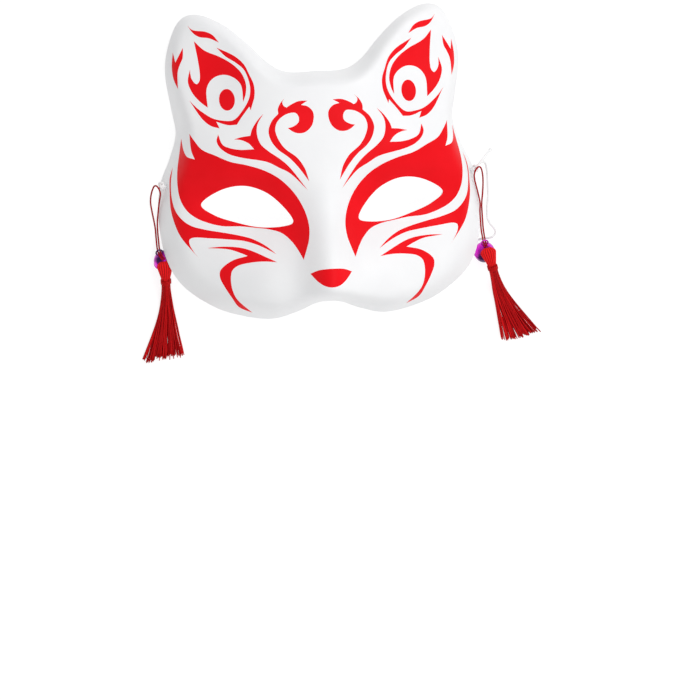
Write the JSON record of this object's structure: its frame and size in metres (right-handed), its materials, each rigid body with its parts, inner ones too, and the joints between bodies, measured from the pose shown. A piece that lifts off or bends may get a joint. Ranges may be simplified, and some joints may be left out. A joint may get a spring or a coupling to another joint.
{
  "type": "kitsune mask",
  "caption": "Half-face fox mask of thin formed plastic with pierced eyes, a head elastic through its temples, and a small bell and a thread tassel on a cord at each temple.",
  "frame": {"origin": "bottom centre of the mask's own box, on the surface that its back rim rests on as it lies face up", "axes": "+Z out of the face, +Y towards the ears, +X across the face towards its right-hand side as seen from the front"},
  "size_m": [0.222, 0.1877, 0.0733],
  "materials": {
    "mask_plastic": "satin white formed plastic with a printed red pattern",
    "elastic": "thin white braided elastic",
    "cord": "thin twisted red cord",
    "bell_metal": "glossy magenta metallic lacquer",
    "tassel_thread": "shiny red threads"
  },
  "bodies": {
    "root": {"mask_shell": "mask_plastic", "head_elastic": "elastic", "elastic_knot_left": "elastic", "tassel_cord_left": "cord", "bell_left": "bell_metal", "tassel_left": "tassel_thread", "tassel_binding_left": "tassel_thread", "elastic_knot_right": "elastic", "tassel_cord_right": "cord", "bell_right": "bell_metal", "tassel_right": "tassel_thread", "tassel_binding_right": "tassel_thread"}
  },
  "joints": []
}
